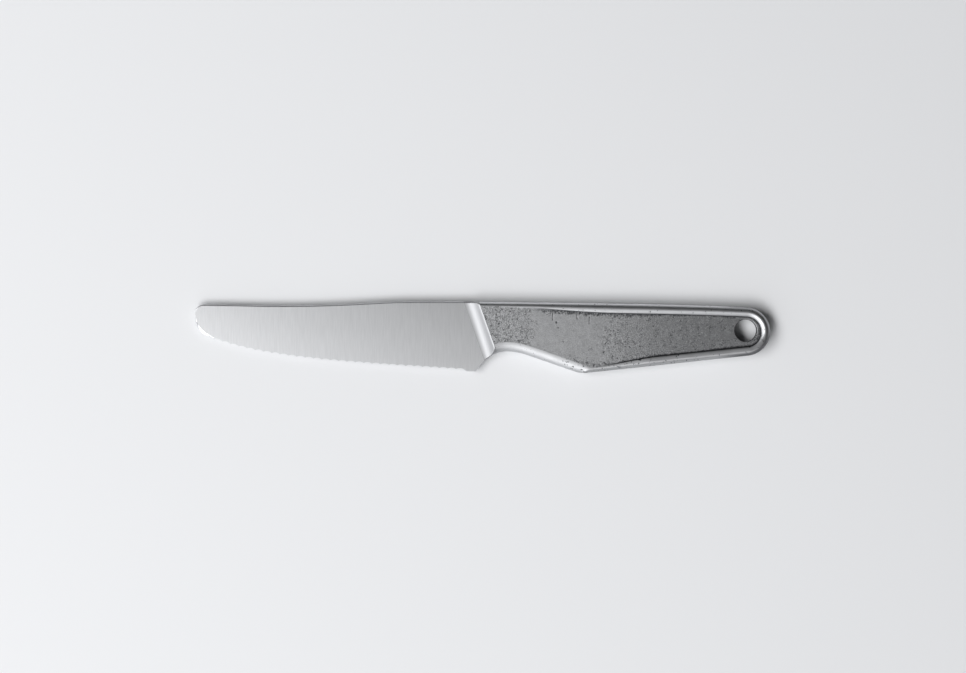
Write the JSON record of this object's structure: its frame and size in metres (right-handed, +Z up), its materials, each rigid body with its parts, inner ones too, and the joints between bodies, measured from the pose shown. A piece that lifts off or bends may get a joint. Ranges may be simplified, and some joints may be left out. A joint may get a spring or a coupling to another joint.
{
  "type": "serrated knife",
  "caption": "One-piece forged steel knife with a satin blade, scalloped edge, slanted bolster and an as-forged handle framed by a rounded rim with a round hanging hole.",
  "frame": {"origin": "under the middle of the part's box, on the plane that the knife lies on", "axes": "+X from the tip to the butt along the knife, +Y from the edge to the spine, +Z up through the thickness, out of the face that the picture shows"},
  "size_m": [0.243, 0.0302, 0.0068],
  "materials": {
    "brushed_blade": "satin, brushed across the blade from spine to edge",
    "satin_bolster": "fine satin, nearly polished in the hollow",
    "tumbled_rim": "tumbled, softly bright on the crest",
    "forged_panel": "as forged, dark grey with scale pits"
  },
  "bodies": {
    "root": {"blade": "brushed_blade", "bolster": "satin_bolster", "handle_rim": "tumbled_rim", "handle_web": "forged_panel"}
  },
  "joints": []
}
